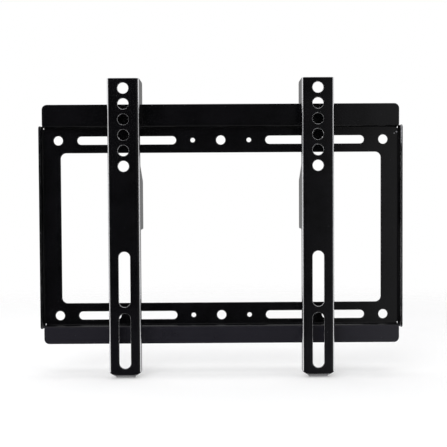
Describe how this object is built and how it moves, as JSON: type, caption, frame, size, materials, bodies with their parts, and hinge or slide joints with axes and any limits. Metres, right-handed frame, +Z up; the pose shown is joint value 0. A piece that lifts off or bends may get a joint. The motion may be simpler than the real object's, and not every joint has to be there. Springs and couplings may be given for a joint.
{
  "type": "fixed tv wall bracket",
  "caption": "Low-profile wall bracket for a flat screen: a folded window-frame plate with a stepped top rail, and upright channel arms that hook over it and screw to the screen.",
  "frame": {"origin": "centre of the wall hole pattern, on the wall face", "axes": "+X right along the wall, +Y into the wall, +Z up"},
  "size_m": [0.289, 0.026, 0.2322],
  "materials": {
    "black_paint": "semi-gloss black powder coat on folded steel sheet"
  },
  "bodies": {
    "root": {"wall_plate": "black_paint", "left_arm": "black_paint", "right_arm": "black_paint"}
  },
  "joints": []
}
